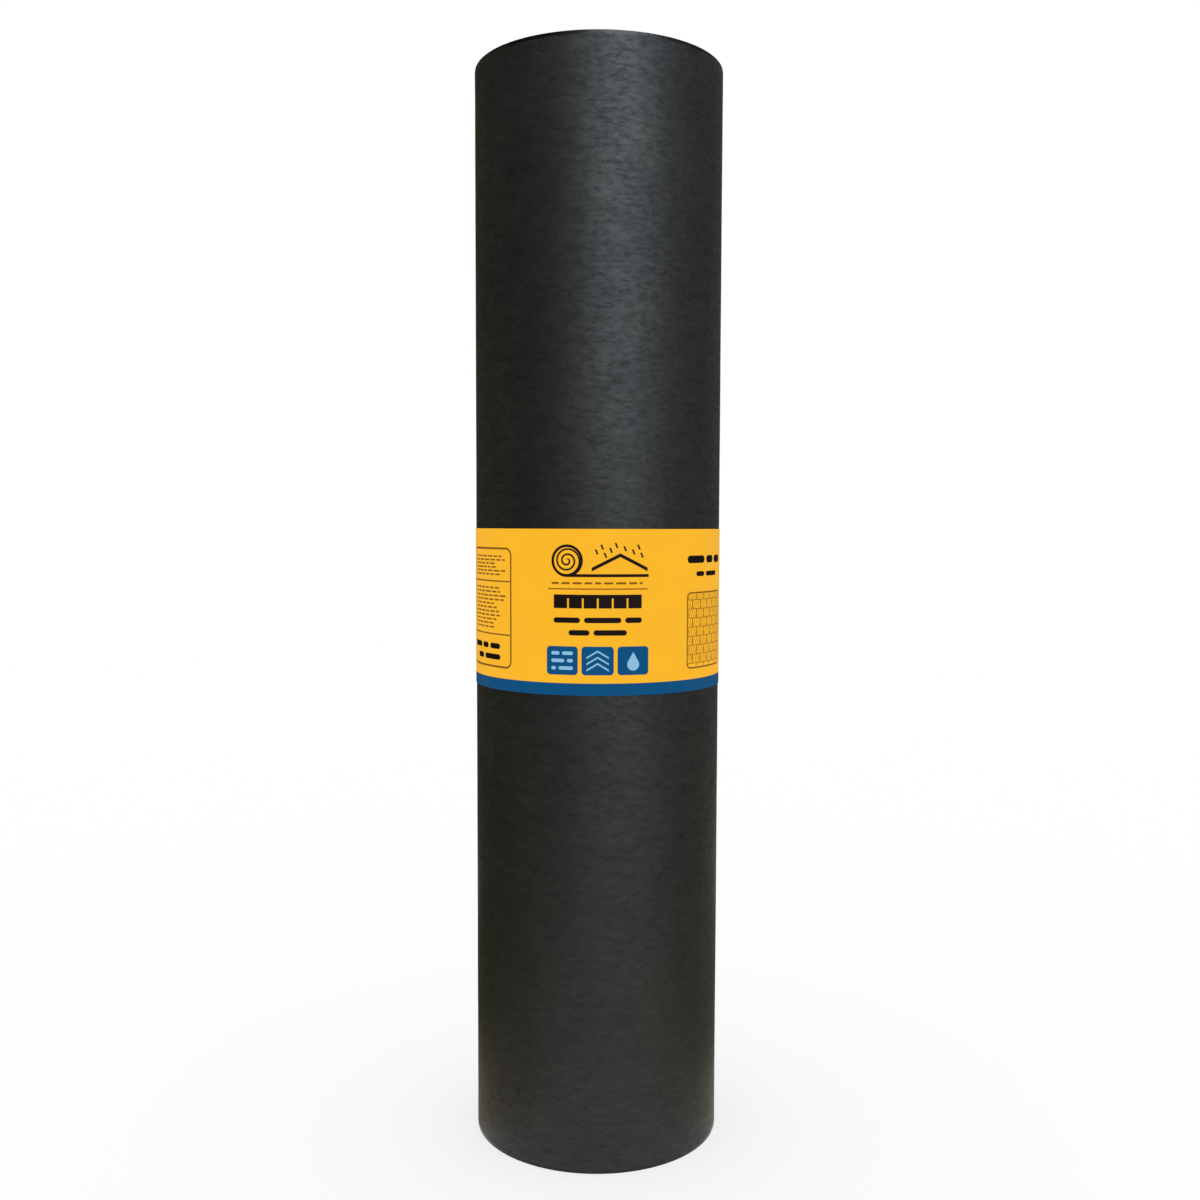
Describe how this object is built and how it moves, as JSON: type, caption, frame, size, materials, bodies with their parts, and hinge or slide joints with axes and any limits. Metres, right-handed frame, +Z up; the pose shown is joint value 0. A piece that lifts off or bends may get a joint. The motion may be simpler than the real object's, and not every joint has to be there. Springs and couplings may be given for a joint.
{
  "type": "roll of roofing felt",
  "caption": "Tight coreless roll of dark saturated roofing felt standing on its end, held by a yellow paper band with a blue stripe.",
  "frame": {"origin": "on the roll's axis, in the plane of the end that it stands on", "axes": "+Z up along the roll's axis, -Y towards the printed front of the band, +X to the right as seen from the front"},
  "size_m": [0.2129, 0.2121, 0.9144],
  "materials": {
    "felt": "bitumen-saturated felt, dark charcoal, fine creped grain, dull with a soft sheen",
    "band_paper": "smooth uncoated paper, printed yellow with a blue stripe along the lower edge"
  },
  "bodies": {
    "root": {"felt_roll": "felt", "paper_band": "band_paper"}
  },
  "joints": []
}
